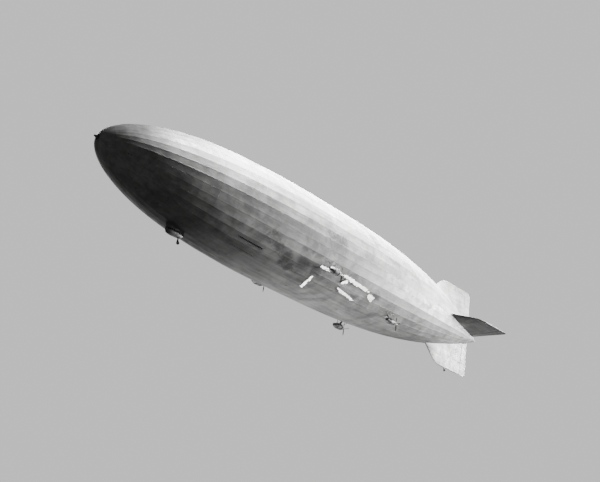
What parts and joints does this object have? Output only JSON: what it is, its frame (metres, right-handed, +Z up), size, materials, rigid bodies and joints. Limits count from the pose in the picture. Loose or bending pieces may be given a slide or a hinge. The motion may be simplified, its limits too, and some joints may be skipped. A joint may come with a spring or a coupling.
{
  "type": "rigid airship, scale model at 1:10",
  "caption": "Long cigar-shaped rigid airship with torn fabric cover, cruciform tail fins, glazed control car, outrigged pusher engine cars and landing wheels, as a 1:10 model.",
  "frame": {"origin": "on the hull's axis at its centre of buoyancy", "axes": "+X to the bow along the hull's axis, +Y to port, +Z up"},
  "size_m": [24.6253, 4.6502, 4.47],
  "materials": {
    "cover_fabric": "aluminium-doped cotton, satin, sooty, streaked along the longitudinals",
    "duralumin": "bare, dull",
    "painted_metal": "silver-grey paint, satin",
    "steel": "dark grey paint over steel tube",
    "engine_iron": "dark, oily",
    "walnut": "laminated, varnished",
    "plywood": "plain, matt",
    "tyre": "matt black",
    "glazing": "clear, slightly dark"
  },
  "bodies": {
    "ship": {"bow_cover": "cover_fabric", "fore_cover": "cover_fabric", "mid_cover": "cover_fabric", "aft_cover": "cover_fabric", "stern_cover": "cover_fabric", "nose_cap": "cover_fabric", "tail_cone": "cover_fabric", "mooring_cone": "steel", "ring_frame_140": "duralumin", "ring_frame_124": "duralumin", "upper_fin": "cover_fabric", "port_fin": "cover_fabric", "starboard_fin": "cover_fabric", "lower_fin": "cover_fabric", "port_forward_nacelle": "painted_metal", "starboard_forward_nacelle": "painted_metal", "port_aft_nacelle": "painted_metal", "starboard_aft_nacelle": "painted_metal", "port_forward_engine": "engine_iron", "starboard_forward_engine": "engine_iron", "port_aft_engine": "engine_iron", "starboard_aft_engine": "engine_iron", "port_forward_mount": "steel", "starboard_forward_mount": "steel", "port_aft_mount": "steel", "starboard_aft_mount": "steel", "control_car": "painted_metal", "car_glazing": "glazing", "car_floor": "plywood", "rudder_helm": "walnut", "elevator_helm": "walnut", "chart_table": "plywood", "car_ladder": "duralumin", "front_leg": "steel", "tail_leg": "steel", "promenade_glazing_port": "glazing", "promenade_glazing_starboard": "glazing"},
    "rudder_top": {"upper_rudder": "cover_fabric"},
    "rudder_bottom": {"lower_rudder": "cover_fabric"},
    "elevator_left": {"port_elevator": "cover_fabric"},
    "elevator_right": {"starboard_elevator": "cover_fabric"},
    "propeller_port_forward": {"port_forward_propeller": "walnut"},
    "propeller_starboard_forward": {"starboard_forward_propeller": "walnut"},
    "propeller_port_aft": {"port_aft_propeller": "walnut"},
    "propeller_starboard_aft": {"starboard_aft_propeller": "walnut"},
    "front_castor": {"front_fork": "steel"},
    "front_wheel": {"front_tyre": "tyre", "front_rim": "duralumin"},
    "tail_castor": {"tail_fork": "steel"},
    "tail_wheel": {"tail_tyre": "tyre", "tail_rim": "duralumin"},
    "boarding_stairs_port": {"stairs_port": "duralumin"},
    "boarding_stairs_starboard": {"stairs_starboard": "duralumin"}
  },
  "joints": [
    {"name": "rudder_turn", "type": "hinge", "parent": "ship", "child": "rudder_top", "pos_m": [-12.01, 0, 1], "axis": [0, 0, 1], "range_deg": [-20, 20]},
    {"name": "lower_rudder_turn", "type": "hinge", "parent": "ship", "child": "rudder_bottom", "pos_m": [-12.01, 0, -1], "axis": [0, 0, 1], "range_deg": [-20, 20]},
    {"name": "elevator_turn", "type": "hinge", "parent": "ship", "child": "elevator_left", "pos_m": [-12.01, 1, 0], "axis": [0, 1, 0], "range_deg": [-20, 20]},
    {"name": "starboard_elevator_turn", "type": "hinge", "parent": "ship", "child": "elevator_right", "pos_m": [-12.01, -1, 0], "axis": [0, 1, 0], "range_deg": [-20, 20]},
    {"name": "port_forward_spin", "type": "hinge", "parent": "ship", "child": "propeller_port_forward", "pos_m": [0.73, 2.02513, -1.30511], "axis": [1, 0, 0], "continuous": true},
    {"name": "starboard_forward_spin", "type": "hinge", "parent": "ship", "child": "propeller_starboard_forward", "pos_m": [0.73, -2.02513, -1.30511], "axis": [1, 0, 0], "continuous": true},
    {"name": "port_aft_spin", "type": "hinge", "parent": "ship", "child": "propeller_port_aft", "pos_m": [-4.05, 1.40345, -1.83564], "axis": [1, 0, 0], "continuous": true},
    {"name": "starboard_aft_spin", "type": "hinge", "parent": "ship", "child": "propeller_starboard_aft", "pos_m": [-4.05, -1.40345, -1.83564], "axis": [1, 0, 0], "continuous": true},
    {"name": "front_swivel", "type": "hinge", "parent": "ship", "child": "front_castor", "pos_m": [7.02, 0, -2.09], "axis": [0, 0, 1], "continuous": true},
    {"name": "front_roll", "type": "hinge", "parent": "front_castor", "child": "front_wheel", "pos_m": [6.992, 0, -2.175], "axis": [0, 1, 0], "continuous": true},
    {"name": "tail_swivel", "type": "hinge", "parent": "ship", "child": "tail_castor", "pos_m": [-10.65, 0, -2.09], "axis": [0, 0, 1], "continuous": true},
    {"name": "tail_roll", "type": "hinge", "parent": "tail_castor", "child": "tail_wheel", "pos_m": [-10.678, 0, -2.175], "axis": [0, 1, 0], "continuous": true},
    {"name": "stairs_port_fold", "type": "hinge", "parent": "ship", "child": "boarding_stairs_port", "pos_m": [5.34, 0.33199, -1.88281], "axis": [0, -0.9848, -0.1736], "range_deg": [0, 45]},
    {"name": "stairs_starboard_fold", "type": "hinge", "parent": "ship", "child": "boarding_stairs_starboard", "pos_m": [5.34, -0.33199, -1.88281], "axis": [0, -0.9848, 0.1736], "range_deg": [0, 45]}
  ],
  "couplings": [
    {"joint": "lower_rudder_turn", "follows": "rudder_turn", "ratio": 1},
    {"joint": "starboard_elevator_turn", "follows": "elevator_turn", "ratio": 1}
  ]
}
